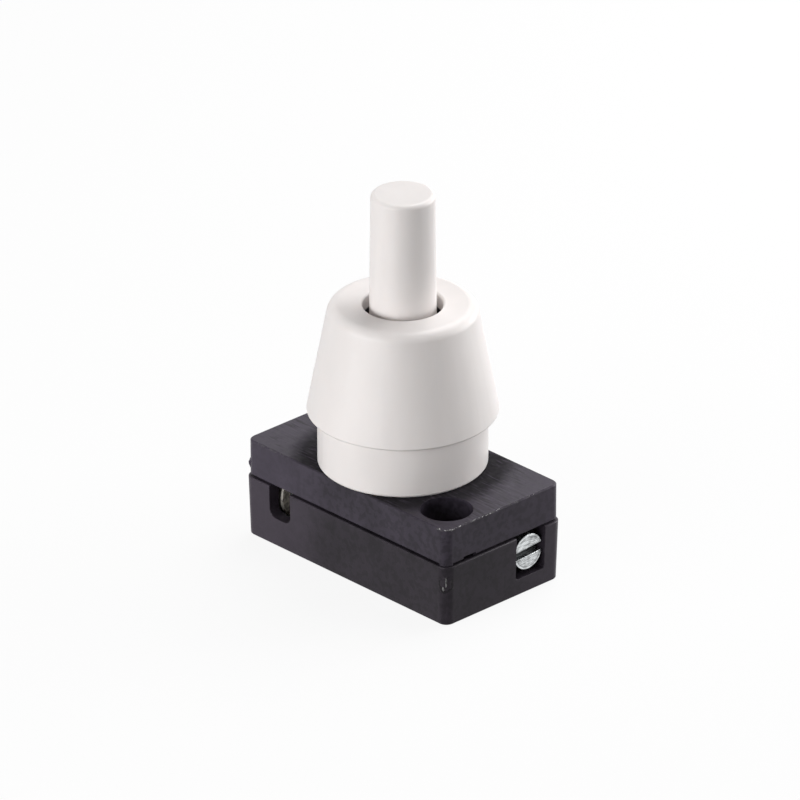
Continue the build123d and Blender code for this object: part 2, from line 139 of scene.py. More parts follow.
class SwitchSizes(bpy.types.PropertyGroup):
    """Sizes of what is modelled on the frame"""

    housing_edge: length("Housing Edge", "Rounding of the black mouldings' edges", 0.07)
    white_edge: length("White Edge", "Rounding of the white mouldings' edges", 0.09)
    metal_edge: length("Metal Edge", "Rounding of the stamped pieces' edges", 0.04)
    shank_radius: length("Shank Radius", "Radius at the crests of the screws' thread", 1.45)
    thread_pitch: length("Thread Pitch", "Pitch of the screws' thread", 0.5)
    thread_depth: length("Thread Depth", "Depth of the screws' thread", 0.27)
    slot_width: length("Slot Width", "Width of the screws' driver slot", 0.85)
    slot_depth: length("Slot Depth", "Depth of the screws' driver slot", 1.0)
    slot_tilt: turn("Slot Tilt", "Tilt of the driver slot from level", 3.4)
    head_edge: length("Head Edge", "Rounding of the screws' heads", 0.2)
    neck_radius: length("Neck Radius", "Radius at the crests of the neck's thread", 4.95)
    neck_pitch: length("Neck Pitch", "Pitch of the neck's thread", 1.0)
    neck_depth: length("Neck Depth", "Depth of the neck's thread", 0.54)
    nut_hole: length("Nut Hole", "Radius of the nut's hole for the plunger", 4.125)
    # Below this depth the wall of the nut's hole is painted dark, as painted shade standing in for the black
    # neck seen deep in the hole
    hole_unshaded_depth: length("Hole Light", "How far down the wall of the nut's hole stays white", 1.5)
    wire: length("Spring Wire", "Thickness of the return spring's wire", 0.45)
    coils: count("Spring Coils", "Turns of the return spring", 5, 3)
    cover_corner: length("Cover Corner", "Radius of the cover's upright corners", 0.98)
    base_corner: length("Base Corner", "Radius of the base's upright corners", 1.2)
    flake_count: count("Flake Count", "Torn flakes along the cover's worn edge", 230, 0)
    flake_size: length("Flake Size", "Mean size of a torn flake", 0.034)
    flake_clumps: count("Flake Clumps", "Clumps that the flakes gather in along the cover's end", 26, 1)
    flake_corner: share("Flake Corner", "Part of the flakes that lies on the front corner", 0.26)
    flake_stray: length("Flake Stray", "How far a flake strays from the edge", 0.5)
    flake_run: length("Flake Run", "How far the flakes go along the cover's end", 12.5)
    scar_height: length("Scar Height", "Height of the moulding scar on the base's corner", 2.15)
    scar_width: length("Scar Width", "Width of the moulding scar on the base's corner", 1.8)
    scar_drop: length("Scar Drop", "From the base's rim down to the middle of its scar", 1.9)
    corner_lean: length("Corner Lean", "How far the base's drafted corner leans in at the scar", 0.06)
    scar_proud: length("Scar Proud", "How far the moulding scar stands out", 0.11)
    tear_width: length("Tear Width", "Width of the pale tears in the moulding scar", 0.2)
    pip_height: length("Pip Height", "Height of the gate pip on the cover's corner", 1.25)
    pip_width: length("Pip Width", "Width of the gate pip on the cover's corner", 0.6)
    pip_rise: length("Pip Rise", "From the seam up to the middle of the cover's pip", 1.3)
    pip_proud: length("Pip Proud", "How far the gate pip stands out", 0.2)


class SwitchFinish(bpy.types.PropertyGroup):
    """Colours and gloss of the pieces"""

    base_black: colour("Base Black", "Colour of the base moulding", (0.0198, 0.0162, 0.0216))
    cover_black: colour("Cover Black", "Colour of the cover moulding", (0.0325, 0.0273, 0.0380))
    # Also the colour of the painted highlight along the far stretch of the cover's -Y top edge
    worn_and_highlight_black: colour("Worn Black", "Colour of the scuffed edge", (0.085, 0.081, 0.084))
    torn_black: colour("Torn Black", "Mean colour of the torn flakes", (0.42, 0.41, 0.415))
    white: colour("White", "Colour of the white mouldings", (0.815, 0.775, 0.760))
    rotor_grey: colour("Rotor Grey", "Colour of the ratchet wheel", (0.42, 0.41, 0.38))
    zinc: colour("Zinc", "Colour of the terminal screws", (0.56, 0.58, 0.59))
    brass: colour("Brass", "Colour of the contacts", (0.60, 0.44, 0.20))
    dull_brass: colour("Dull Brass", "Colour of the tarnished clamp washers", (0.46, 0.43, 0.39))
    # The washers' rubbed edge, also used as a painted highlight on it
    rubbed_edge_glint: colour("Bright Edge", "Colour of the washers' rubbed edge", (0.62, 0.60, 0.55))
    rivet: colour("Rivet", "Colour of the housing rivets", (0.33, 0.30, 0.27))
    steel: colour("Steel", "Colour of the return spring", (0.50, 0.50, 0.51))
    black_rough: share("Black Roughness", "Mean roughness of the black mouldings", 0.38)
    white_rough: share("White Roughness", "Mean roughness of the white mouldings", 0.38)
    # Painted shade: how dark the lump round the scar's blister is painted for its crevice
    crevice_shade: share("Crevice Shade", "Part of the base's colour that the scar's crevice keeps", 0.3)
    # The tears' pale colour also stands in for highlights on the blister, as painted highlights
    tear_shade: share("Tear Shade", "Part of the flakes' colour that the scar's tears keep", 0.4)


class SwitchStudio(bpy.types.PropertyGroup):
    """Camera, lamps and floor"""

    azimuth: turn("Azimuth", "Camera's angle round the switch", 46.27)
    elevation: turn("Elevation", "Camera's height above the horizon", 26.36)
    distance: length("Distance", "From the camera to its aim", 1200.0)
    lens: bpy.props.FloatProperty(
        name="Lens", description="Focal length", default=529.2, min=1.0, unit="CAMERA"
    )
    aim_side: length("Aim Side", "How far left of the axis the camera aims", 0.29)
    aim_height: length("Aim Height", "Height that the camera and the lamps aim at", 17.7)
    key_side: turn("Key Side", "Angle of the key lamp from the camera", -49.0)
    key_power: power("Key Power", "Power of the large soft lamp on the left", 1.33)
    key_width: length("Key Width", "Width of the key lamp", 340.0)
    rim_side: turn("Rim Side", "Angle of the rim lamp from the camera", 107.0)
    rim_power: power("Rim Power", "Power of the soft lamp on the right", 1.1)
    rim_width: length("Rim Width", "Width of the rim lamp", 280.0)
    side_height: length("Side Height", "Height of the two side lamps' faces", 220.0)
    side_distance: length("Side Distance", "From the two side lamps to their aim", 300.0)
    lamp_height: turn("Lamp Height", "Elevation of the two side lamps", 6.0)
    top_side: turn("Top Side", "Angle of the top lamp from the camera", 145.0)
    top_height: turn("Top Height", "Elevation of the top lamp", 57.0)
    top_power: power("Top Power", "Power of the soft lamp above the right side", 0.97)
    top_width: length("Top Width", "Width and height of the top lamp", 260.0)
    top_distance: length("Top Distance", "From the top lamp to its aim", 340.0)
    fill: share("Fill", "Light that comes from all round", 0.12)
    floor_colour: colour("Floor", "Colour of the floor", (0.82, 0.82, 0.82))
    bounce_colour: colour("Bounce", "Colour of the light that the floor throws back", (0.14, 0.14, 0.14))
    shadow: share("Shadow", "How much of the floor's own shading the camera sees", 0.10)


def add_node(tree, kind, inputs=None, **settings):
    """Add a shader node; an input is given a value, or a socket to link to."""
    made = tree.nodes.new(kind)
    for key, value in settings.items():
        setattr(made, key, value)
    for key, value in (inputs or {}).items():
        if isinstance(value, bpy.types.NodeSocket):
            tree.links.new(value, made.inputs[key])
        else:
            made.inputs[key].default_value = value
    return made


def object_place(tree, **mapping):
    """Object coordinates, turned or stretched by a mapping."""
    place = add_node(tree, "ShaderNodeTexCoord").outputs["Object"]
    inputs = {key.title(): value for key, value in mapping.items()}
    return add_node(tree, "ShaderNodeMapping", {"Vector": place, **inputs}).outputs["Vector"]


def split(tree, vector):
    """The three parts of a vector."""
    return add_node(tree, "ShaderNodeSeparateXYZ", {"Vector": vector}).outputs


def noise(tree, place, scale, detail=2.0):
    """A noise texture's value."""
    inputs = {"Vector": place, "Scale": scale, "Detail": detail}
    return add_node(tree, "ShaderNodeTexNoise", inputs).outputs["Fac"]


def math_node(tree, operation, first, second=0.0):
    """One sum on two values."""
    return add_node(tree, "ShaderNodeMath", {0: first, 1: second}, operation=operation).outputs[0]


def times(tree, first, second):
    """One value times another."""
    return math_node(tree, "MULTIPLY", first, second)


def weighted_sum(tree, *shares):
    """Sum of values, each times its own weight."""
    total, *others = (times(tree, value, weight) for value, weight in shares)
    for other in others:
        total = math_node(tree, "ADD", total, other)
    return total


def spread(tree, value, low, high, start=0.0, end=1.0):
    """A value mapped smoothly from low to high onto start to end."""
    inputs = {"Value": value, "From Min": low, "From Max": high, "To Min": start, "To Max": end}
    return add_node(tree, "ShaderNodeMapRange", inputs, interpolation_type="SMOOTHSTEP").outputs["Result"]


def blend_colours(tree, factor, first, second):
    """A colour mixed from two by a factor."""
    mixed = add_node(tree, "ShaderNodeMix", {"Factor": factor}, data_type="RGBA")
    for key, value in ((FIRST_COLOUR, first), (SECOND_COLOUR, second)):
        if isinstance(value, bpy.types.NodeSocket):
            tree.links.new(value, mixed.inputs[key])
        else:
            mixed.inputs[key].default_value = value
    return mixed.outputs[MIXED_COLOUR]


def tint(value, factor):
    """A colour made lighter or darker, with full cover."""
    return (*(channel * factor for channel in value), 1.0)


def bump(tree, height, strength, depth):
    """A bump from a height between nought and one."""
    inputs = {"Height": height, "Strength": strength, "Distance": depth}
    return add_node(tree, "ShaderNodeBump", inputs).outputs["Normal"]


def start_material(name):
    """A new material, with its tree and its principled shader."""
    made = bpy.data.materials.new(name)
    made.use_nodes = True
    tree = made.node_tree
    return made, tree, tree.nodes["Principled BSDF"]


def dress(tree, shader, shade, rough, relief=None):
    """Link a colour, a roughness and, where there is one, a bump to a shader."""
    tree.links.new(shade, shader.inputs["Base Color"])
    tree.links.new(rough, shader.inputs["Roughness"])
    if relief is not None:
        tree.links.new(relief, shader.inputs["Normal"])


def axis_distance(tree, first, second):
    """Length of a vector given by two of its parts."""
    squares = (times(tree, part, part) for part in (first, second))
    return math_node(tree, "SQRT", math_node(tree, "ADD", *squares))


def beyond(tree, value, limit):
    """How far a place lies from the middle past a limit, or nought."""
    past = math_node(tree, "SUBTRACT", math_node(tree, "ABSOLUTE", value), limit)
    return math_node(tree, "MAXIMUM", past, 0.0)


def edge_wear_and_highlight(tree, place, corner):
    """Mask of the cover's top edge: rubbed wear at its +X end, and a painted highlight along the far stretch
    of its -Y side.
    """
    rim = 0.07 * MM
    rubbed, whole = 0.06 * MM, 0.17 * MM
    # Each pair: where a fade starts and where it ends
    end_x, end_y = (12.6 * MM, 13.9 * MM), (-1.0 * MM, 6.5 * MM)
    side_x, side_y = (-7.5 * MM, -10.0 * MM), (-7.0 * MM, -7.5 * MM)
    x, y, z = split(tree, place)
    past_x = beyond(tree, x, COVER_HIGH.x - corner)
    past_y = beyond(tree, y, COVER_HIGH.y - corner)
    inward = math_node(tree, "SUBTRACT", axis_distance(tree, past_x, past_y), corner - rim)
    below = math_node(tree, "SUBTRACT", z, COVER_TOP - rim)
    near = spread(tree, axis_distance(tree, inward, below), rubbed, whole, 1.0, 0.0)
    end = times(tree, spread(tree, x, *end_x), spread(tree, y, *end_y, 1.0, 0.2))
    # Painted highlight: a lighter line along the far stretch of the -Y top edge
    far_side_highlight = times(tree, spread(tree, x, *side_x, 0.0, 0.6), spread(tree, y, *side_y))
    mask = times(tree, near, math_node(tree, "MAXIMUM", end, far_side_highlight))
    patches = spread(tree, noise(tree, place, scale=1300.0, detail=4.0), 0.42, 0.60)
    flecks = spread(tree, noise(tree, place, scale=7000.0), 0.42, 0.56)
    return times(tree, mask, times(tree, patches, flecks))


def top_marks_and_shadow(tree, place):
    """Masks of the cover's top: the part away from the ring, made paler, a painted shadow of the ring and
    nut round the ring's foot, and its pale and dark scratches.
    """
    top_layer = (COVER_TOP - 0.5 * MM, COVER_TOP - 0.2 * MM)
    shadow_end = (RING_HIGH.x + 1.2 * MM, RING_HIGH.x + 3.8 * MM)
    facing = add_node(tree, "ShaderNodeNewGeometry").outputs["Normal"]
    upward = split(tree, facing)["Z"]
    x, y, z = split(tree, place)
    top = times(tree, spread(tree, upward, 0.5, 0.95), spread(tree, z, *top_layer))
    # Painted shadow: the top close round the ring is marked as the ring's and nut's shadow; the rest of the
    # top is made paler
    open_top = times(tree, top, spread(tree, axis_distance(tree, x, y), *shadow_end))
    ring_shadow = math_node(tree, "SUBTRACT", top, open_top)
    along_x = object_place(tree, scale=(0.13, 1.0, 1.0), rotation=(0.0, 0.0, 0.06))
    drawn = noise(tree, along_x, scale=3400.0, detail=4.0)
    scuffed = times(tree, top, spread(tree, noise(tree, place, scale=330.0), 0.36, 0.60))
    pale = times(tree, spread(tree, drawn, 0.52, 0.66), scuffed)
    dark = times(tree, spread(tree, drawn, 0.46, 0.36), scuffed)
    return open_top, ring_shadow, pale, dark


def lit_ends(tree, place):
    """Mask of the two opposite upright ends, the -X one more than the other, made lighter as painted light
    where light falls on them.
    """
    shift, unevenness = 3.0 * MM, 6.0 * MM
    reach = BASE_HIGH.x + BASE_HIGH.y
    unlit_reach, lit_reach = 0.62 * reach, 1.12 * reach
    x, y, _ = split(tree, place)
    along = math_node(tree, "SUBTRACT", math_node(tree, "ADD", x, y), shift)
    uneven = times(tree, noise(tree, place, scale=420.0, detail=4.0), unevenness)
    diagonal = math_node(tree, "ADD", math_node(tree, "ABSOLUTE", along), uneven)
    return spread(tree, diagonal, unlit_reach, lit_reach)


def black_moulding(name, tone, mean_rough, end_light, wear_and_highlight=None):
    """Satin black plastic: mottled, grained, scratched on top, with a painted shadow round the ring and the
    rest of the top made paler.

    The end factor says how much lighter its two far ends are painted, as painted light; the edge pair gives
    the colour and corner radius of the worn edge and of the painted highlight along the far -Y edge.
    """
    made, tree, shader = start_material(name)
    place = object_place(tree)
    clouds = spread(tree, noise(tree, place, scale=230.0, detail=3.0), 0.34, 0.66)
    mottle = noise(tree, place, scale=1500.0, detail=4.0)
    grain = noise(tree, place, scale=5600.0)
    open_top, ring_shadow, pale, dark = top_marks_and_shadow(tree, place)
    light = blend_colours(tree, clouds, tint(tone, 0.84), tint(tone, 1.18))
    deep = blend_colours(tree, clouds, tint(tone, 0.56), tint(tone, 0.82))
    shade = blend_colours(tree, spread(tree, mottle, 0.56, 0.40), light, deep)
    # Each layer's mask, how far it covers, and how light it is beside the plain plastic
    # Painted light: the layer of the two far ends lightens them where light falls
    # Painted shade: the layer round the ring darkens the top as the ring's and nut's shadow
    layers = (
        (lit_ends(tree, place), 0.5, 1.0 + 2.0 * end_light), (open_top, 0.5, 1.3), (ring_shadow, 0.9, 0.1),
        (pale, 0.5, 2.0), (dark, 0.7, 0.1),
    )
    for mask, covering, lightness in layers:
        shade = blend_colours(tree, times(tree, mask, covering), shade, tint(tone, lightness))
    rough = spread(tree, mottle, 0.3, 0.7, mean_rough - 0.08, mean_rough + 0.10)
    rough = math_node(tree, "ADD", rough, times(tree, ring_shadow, 0.4))
    # Worn +X end, and the painted highlight along the far -Y edge
    if wear_and_highlight is not None:
        wear_and_highlight_tone, corner = wear_and_highlight
        mask = edge_wear_and_highlight(tree, place, corner)
        shade = blend_colours(tree, mask, shade, tint(wear_and_highlight_tone, 1.0))
        rough = math_node(tree, "ADD", rough, times(tree, mask, 0.2))
    relief = weighted_sum(tree, (grain, 0.6), (mottle, 0.8), (pale, 0.5))
    dress(tree, shader, shade, rough, bump(tree, relief, strength=0.35, depth=0.02 * MM))
    shader.inputs["Specular IOR Level"].default_value = 0.16
    shader.inputs["Specular Tint"].default_value = (1.0, 0.95, 1.0, 1.0)
    return made


def torn_moulding(name, tone, fleck_scale):
    """Pale rough plastic where a moulding is torn, uneven from fleck to fleck."""
    made, tree, shader = start_material(name)
    flecks = noise(tree, object_place(tree), fleck_scale, detail=3.0)
    shade = blend_colours(tree, spread(tree, flecks, 0.36, 0.64), tint(tone, 0.22), tint(tone, 1.7))
    dress(tree, shader, shade, spread(tree, flecks, 0.3, 0.7, 0.42, 0.62))
    shader.inputs["Specular IOR Level"].default_value = 0.3
    return made


def painted_hole_shade(tree, place, hole, depth):
    """Mask of the wall of the nut's hole from a depth downwards, painted dark as painted shade standing in
    for the black neck seen deep in the hole.
    """
    outside, under, over = 0.1 * MM, 0.2 * MM, 0.1 * MM
    start = NUT_TOP - depth
    x, y, z = split(tree, place)
    inside = spread(tree, axis_distance(tree, x, y), hole, hole + outside, 1.0, 0.0)
    return times(tree, inside, spread(tree, z, start - under, start + over, 1.0, 0.0))


def white_moulding(name, tone, mean_rough, hole=None):
    """Half-glossy white plastic with faint flow marks; hole is a radius and the depth below which its wall
    is painted dark, as painted shade deep in the hole.
    """
    made, tree, shader = start_material(name)
    place = object_place(tree)
    clouds = noise(tree, object_place(tree, scale=(1.0, 1.0, 0.35)), scale=260.0, detail=3.0)
    grain = noise(tree, place, scale=3800.0)
    shade = blend_colours(tree, spread(tree, clouds, 0.3, 0.7), tint(tone, 0.975), tint(tone, 1.015))
    if hole is not None:
        # Painted shade: the deep wall of the nut's hole is painted nearly black
        shade = blend_colours(tree, painted_hole_shade(tree, place, *hole), shade, tint(tone, 0.01))
    rough = spread(tree, clouds, 0.3, 0.7, mean_rough - 0.04, mean_rough + 0.06)
    dress(tree, shader, shade, rough, bump(tree, grain, strength=0.08, depth=0.01 * MM))
    shader.inputs["Subsurface Weight"].default_value = 0.12
    shader.inputs["Subsurface Radius"].default_value = (1.0, 0.85, 0.75)
    shader.inputs["Subsurface Scale"].default_value = 0.5 * MM
    shader.inputs["Specular IOR Level"].default_value = 0.38
    return made


def rotor_moulding(name, tone):
    """Plain engineering plastic of the ratchet wheel."""
    made, tree, shader = start_material(name)
    clouds = noise(tree, object_place(tree), scale=600.0, detail=3.0)
    shade = blend_colours(tree, spread(tree, clouds, 0.3, 0.7), tint(tone, 0.92), tint(tone, 1.06))
    dress(tree, shader, shade, spread(tree, clouds, 0.3, 0.7, 0.42, 0.54))
    return made


def worked_metal(name, tone, mean_rough, scratches):
    """Metal with clouded tarnish and fine drawn scratches."""
    made, tree, shader = start_material(name)
    shader.inputs["Metallic"].default_value = 1.0
    clouds = noise(tree, object_place(tree), scale=900.0, detail=4.0)
    drawn = noise(tree, object_place(tree, scale=scratches), scale=1500.0, detail=3.0)
    shade = blend_colours(tree, spread(tree, clouds, 0.3, 0.7), tint(tone, 0.8), tint(tone, 1.1))
    rough = spread(tree, drawn, 0.3, 0.7, mean_rough - 0.08, mean_rough + 0.12)
    dress(tree, shader, shade, rough, bump(tree, drawn, strength=0.2, depth=0.01 * MM))
    return made


def terminal_radius(tree, place):
    """Distance from the axis of the terminal on a place's own side."""
    _, y, z = split(tree, place)
    across = math_node(tree, "SUBTRACT", math_node(tree, "ABSOLUTE", y), TERMINAL_Y)
    return axis_distance(tree, across, math_node(tree, "SUBTRACT", z, TERMINAL_Z))


def turned_zinc(name, tone):
    """Zinc-plated screw: lathe rings, drawn streaks, a dark line inside the rim that is painted shade of a
    recess not modelled, and painted shade deep in the slot.
    """
    ring_pitch = 0.21 * MM
    groove_radius = HEAD_RADIUS - 0.30 * MM
    groove_dark, groove_end = 0.02 * MM, 0.08 * MM
    slot_shade_start, slot_shade_full = 0.55 * MM, 1.0 * MM
    made, tree, shader = start_material(name)
    shader.inputs["Metallic"].default_value = 1.0
    place = object_place(tree)
    uneven = noise(tree, place, scale=1100.0, detail=3.0)
    radius = terminal_radius(tree, place)
    wander = math_node(tree, "ADD", times(tree, radius, 1 / ring_pitch), uneven)
    rings = spread(tree, math_node(tree, "SINE", times(tree, wander, 2 * math.pi)), -1.0, 1.0)
    along_y = object_place(tree, scale=(1.0, 0.22, 1.0))
    streaks = spread(tree, noise(tree, along_y, scale=4400.0, detail=4.0), 0.36, 0.62)
    patches = spread(tree, noise(tree, place, scale=1900.0), 0.36, 0.64)
    marks = weighted_sum(tree, (rings, 0.25), (streaks, 0.45), (patches, 0.30))
    shade = blend_colours(tree, marks, tint(tone, 0.30), tint(tone, 1.42))
    # Painted shade: a dark line inside the rim, for a recess that is not modelled
    aside = math_node(tree, "ABSOLUTE", math_node(tree, "SUBTRACT", radius, groove_radius))
    groove_shade = spread(tree, aside, groove_dark, groove_end, 0.75, 0.0)
    groove_shade = times(tree, groove_shade, spread(tree, uneven, 0.40, 0.55))
    # Painted shade: the slot is darkened more the deeper it goes
    out = math_node(tree, "ABSOLUTE", split(tree, place)["X"])
    sunk = math_node(tree, "SUBTRACT", HEAD_FACE, out)
    slot_shade = spread(tree, sunk, slot_shade_start, slot_shade_full, 0.0, 0.9)
    shade = blend_colours(tree, math_node(tree, "MAXIMUM", groove_shade, slot_shade), shade, tint(tone, 0.22))
    rough = spread(tree, uneven, 0.3, 0.7, 0.18, 0.40)
    rough = math_node(tree, "ADD", rough, times(tree, slot_shade, 0.2))
    relief = math_node(tree, "ADD", marks, uneven)
    dress(tree, shader, shade, rough, bump(tree, relief, strength=0.6, depth=0.03 * MM))
    return made


def tarnished_brass(name, dull, glint_colour, rim):
    """Clamp washer's brass: dull and spotted, with a pale ring just inside the rim that is partly a rubbed
    edge and partly a painted highlight.
    """
    glint_start = (rim - 0.15 * MM, rim - 0.11 * MM)
    glint_end = (rim - 0.09 * MM, rim - 0.04 * MM)
    made, tree, shader = start_material(name)
    shader.inputs["Metallic"].default_value = 0.45
    place = object_place(tree)
    spots = noise(tree, place, scale=2600.0, detail=4.0)
    radius = terminal_radius(tree, place)
    # Rubbed edge and painted highlight: a pale ring just inside the rim
    edge = times(tree, spread(tree, radius, *glint_start), spread(tree, radius, *glint_end, 1.0, 0.0))
    edge = times(tree, edge, spread(tree, spots, 0.36, 0.54))
    shade = blend_colours(tree, spread(tree, spots, 0.35, 0.65), tint(dull, 0.62), tint(dull, 1.25))
    shade = blend_colours(tree, edge, shade, tint(glint_colour, 1.0))
    rough = spread(tree, spots, 0.3, 0.7, 0.44, 0.60)
    rough = math_node(tree, "SUBTRACT", rough, times(tree, edge, 0.25))
    dress(tree, shader, shade, rough, bump(tree, spots, strength=0.3, depth=0.01 * MM))
    return made


def place_piece(mesh, name, material, body, replaced=()):
    """Make an object of a bmesh, give it its finish and let it ride on its body."""
    data = bpy.data.meshes.new(name)
    mesh.to_mesh(data)
    mesh.free()
    data.materials.append(material)
    data.shade_smooth()
    data.set_sharp_from_angle(angle=SMOOTH_ANGLE)
    piece = bpy.data.objects.new(name, data)
    bpy.context.scene.collection.objects.link(piece)
    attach(piece, body)
    if replaced:
        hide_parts(*replaced)
    return piece


def flatten_shading(piece):
    """Let large faces keep flat normals up to their rounded edges."""
    weighted = piece.modifiers.new("Flat faces", "WEIGHTED_NORMAL")
    weighted.keep_sharp = True
    weighted.weight = 80


def rounded_copy(node, edge):
    """A bmesh of a CAD node, with its sharp edges rounded."""
    mesh = bmesh.new()
    mesh.from_mesh(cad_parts[node].data)
    bmesh.ops.remove_doubles(mesh, verts=mesh.verts, dist=MERGE_DISTANCE)
    bmesh.ops.dissolve_limit(mesh, angle_limit=FLAT_ANGLE, verts=mesh.verts, edges=mesh.edges)
    sharp = [side for side in mesh.edges if side.calc_face_angle(0.0) > SHARP_ANGLE]
    bmesh.ops.bevel(
        mesh, geom=sharp, offset=edge, offset_type="OFFSET", segments=3, profile=0.5,
        affect="EDGES", material=-1, clamp_overlap=True,
    )
    for side in mesh.faces:
        side.material_index = 0
    return mesh


def rounded_piece(node, name, edge, material, body):
    """A piece that stands for a CAD node, with rounded edges."""
    piece = place_piece(rounded_copy(node, edge), name, material, body, (node,))
    flatten_shading(piece)


def thread_ridge(mesh, root, crest, pitch, low, high):
    """Wind a closed helical ridge round Z onto a closed bmesh, from one height up to another."""
    sunk = root - 0.03 * MM
    # The ridge's section: radius, and height as a part of the pitch
    outline = ((sunk, 0.0), (root, 0.08), (crest, 0.40), (crest, 0.55), (root, 0.87), (sunk, 0.95))
    loop = [mesh.verts.new((radius, 0.0, low + part * pitch)) for radius, part in outline]
    sides = [mesh.edges.new(pair) for pair in zip(loop, loop[1:] + loop[:1])]
    turns = (high - low) / pitch
    steps = round(turns * THREAD_STEPS)
    bmesh.ops.spin(
        mesh, geom=loop + sides, cent=(0.0, 0.0, 0.0), axis=(0.0, 0.0, 1.0), angle=2 * math.pi * turns,
        dvec=(0.0, 0.0, pitch * turns / steps), steps=steps, use_merge=False, use_duplicate=False,
    )
    bmesh.ops.holes_fill(mesh, edges=[side for side in mesh.edges if side.is_boundary], sides=0)
    bmesh.ops.recalc_face_normals(mesh, faces=mesh.faces)


def threaded_cover(sizes):
    """A bmesh of the cover, with the thread cut on its neck."""
    mesh = rounded_copy("cover", sizes.housing_edge)
    low, high = COVER_TOP + sizes.neck_pitch, COVER_HIGH.z - 2 * sizes.neck_pitch
    root, outside = sizes.neck_radius - sizes.neck_depth, sizes.neck_radius + sizes.housing_edge
    foot = COVER_TOP + sizes.housing_edge / 2
    wall = [corner for corner in mesh.verts if corner.co.z > foot and root < corner.co.xy.length < outside]
    for corner in wall:
        corner.co.xy *= root / corner.co.xy.length
    thread_ridge(mesh, root, sizes.neck_radius, sizes.neck_pitch, low, high)
    return mesh


def threaded_screw(sizes):
    """A bmesh of the terminal screw at +X: slotted head, threaded shank, blunt point."""
    mesh = bmesh.new()
    slot_floor = HEAD_FACE - sizes.slot_depth
    near_rim = 0.99 * HEAD_RADIUS
    # Head: a disc at the slot's floor, whose two lips rise beside the slot
    bmesh.ops.create_circle(mesh, cap_ends=True, segments=72, radius=HEAD_RADIUS)
    for sign in (1, -1):
        bmesh.ops.bisect_plane(
            mesh, geom=mesh.verts[:] + mesh.edges[:] + mesh.faces[:], dist=MERGE_DISTANCE,
            plane_co=(0.0, sign * sizes.slot_width / 2, 0.0), plane_no=(0.0, 1.0, 0.0),
        )
    rim = [side for side in mesh.edges if side.is_boundary]
    lips = [face for face in mesh.faces if abs(face.calc_center_median().y) > sizes.slot_width / 2]
    raised = bmesh.ops.extrude_face_region(mesh, geom=lips)["geom"]
    bmesh.ops.delete(mesh, geom=lips, context="FACES_ONLY")
    tops = [item for item in raised if isinstance(item, bmesh.types.BMVert)]
    bmesh.ops.translate(mesh, verts=tops, vec=(0.0, 0.0, sizes.slot_depth))
    crown = [
        side for side in mesh.edges
        if all(v.co.z > sizes.slot_depth / 2 and v.co.xy.length > near_rim for v in side.verts)
    ]
    # Skirt of the head, and its seat on the washer
    skirt = bmesh.ops.extrude_edge_only(mesh, edges=rim)["geom"]
    skirt_verts = [item for item in skirt if isinstance(item, bmesh.types.BMVert)]
    bmesh.ops.translate(mesh, verts=skirt_verts, vec=(0.0, 0.0, HEAD_SEAT - slot_floor))
    seat = [item for item in skirt if isinstance(item, bmesh.types.BMEdge)]
    bmesh.ops.contextual_create(mesh, geom=seat)
    bmesh.ops.recalc_face_normals(mesh, faces=mesh.faces)
    bmesh.ops.bevel(
        mesh, geom=crown, offset=sizes.head_edge, offset_type="OFFSET", segments=5, profile=0.5,
        affect="EDGES", material=-1, clamp_overlap=True,
    )
    bmesh.ops.translate(mesh, verts=mesh.verts, vec=(0.0, 0.0, slot_floor))
    # Shank with a blunt point, and the thread wound on it
    shank_length = HEAD_SEAT - SCREW_LOW.x
    root = sizes.shank_radius - sizes.thread_depth
    shank = bmesh.ops.create_cone(
        mesh, cap_ends=True, segments=48, radius1=root, radius2=root, depth=shank_length,
    )["verts"]
    bmesh.ops.translate(mesh, verts=shank, vec=(0.0, 0.0, SCREW_LOW.x + shank_length / 2))
    thread_ridge(
        mesh, root, sizes.shank_radius, sizes.thread_pitch, SCREW_LOW.x, HEAD_SEAT - sizes.thread_pitch
    )
    # From its own axis onto the terminal's
    bmesh.ops.rotate(mesh, verts=mesh.verts, matrix=Matrix.Rotation(sizes.slot_tilt, 3, "Z"))
    lay = Matrix(((0, 0, 1), (1, 0, 0), (0, 1, 0)))
    bmesh.ops.rotate(mesh, verts=mesh.verts, matrix=lay)
    bmesh.ops.translate(mesh, verts=mesh.verts, vec=(0.0, TERMINAL_Y, TERMINAL_Z))
    return mesh


def coil_spring(sizes):
    """A bmesh of the return spring, with closed ends."""
    mesh = bmesh.new()
    radius = (SPRING_HIGH.x - SPRING_LOW.x) / 2 - sizes.wire / 2
    foot = SPRING_LOW.z + sizes.wire / 2
    rise = SPRING_HIGH.z - SPRING_LOW.z - sizes.wire
    closed_turns = 0.75
    closed_rise = closed_turns * sizes.wire
    stretches = (
        (closed_turns, closed_rise),
        (sizes.coils - 2 * closed_turns, rise - 2 * closed_rise),
        (closed_turns, closed_rise),
    )
    section = bmesh.ops.create_circle(mesh, segments=14, radius=sizes.wire / 2)["verts"]
    bmesh.ops.rotate(mesh, verts=section, matrix=Matrix.Rotation(math.pi / 2, 3, "X"))
    bmesh.ops.translate(mesh, verts=section, vec=(radius, 0.0, foot))
    last = section + mesh.edges[:]
    for turns, climb in stretches:
        steps = round(turns * SPRING_STEPS)
        last = bmesh.ops.spin(
            mesh, geom=last, cent=(0.0, 0.0, 0.0), axis=(0.0, 0.0, 1.0), dvec=(0.0, 0.0, climb / steps),
            angle=2 * math.pi * turns, steps=steps, use_merge=False, use_duplicate=False,
        )["geom_last"]
    bmesh.ops.holes_fill(mesh, edges=[side for side in mesh.edges if side.is_boundary], sides=0)
    bmesh.ops.recalc_face_normals(mesh, faces=mesh.faces)
    return mesh


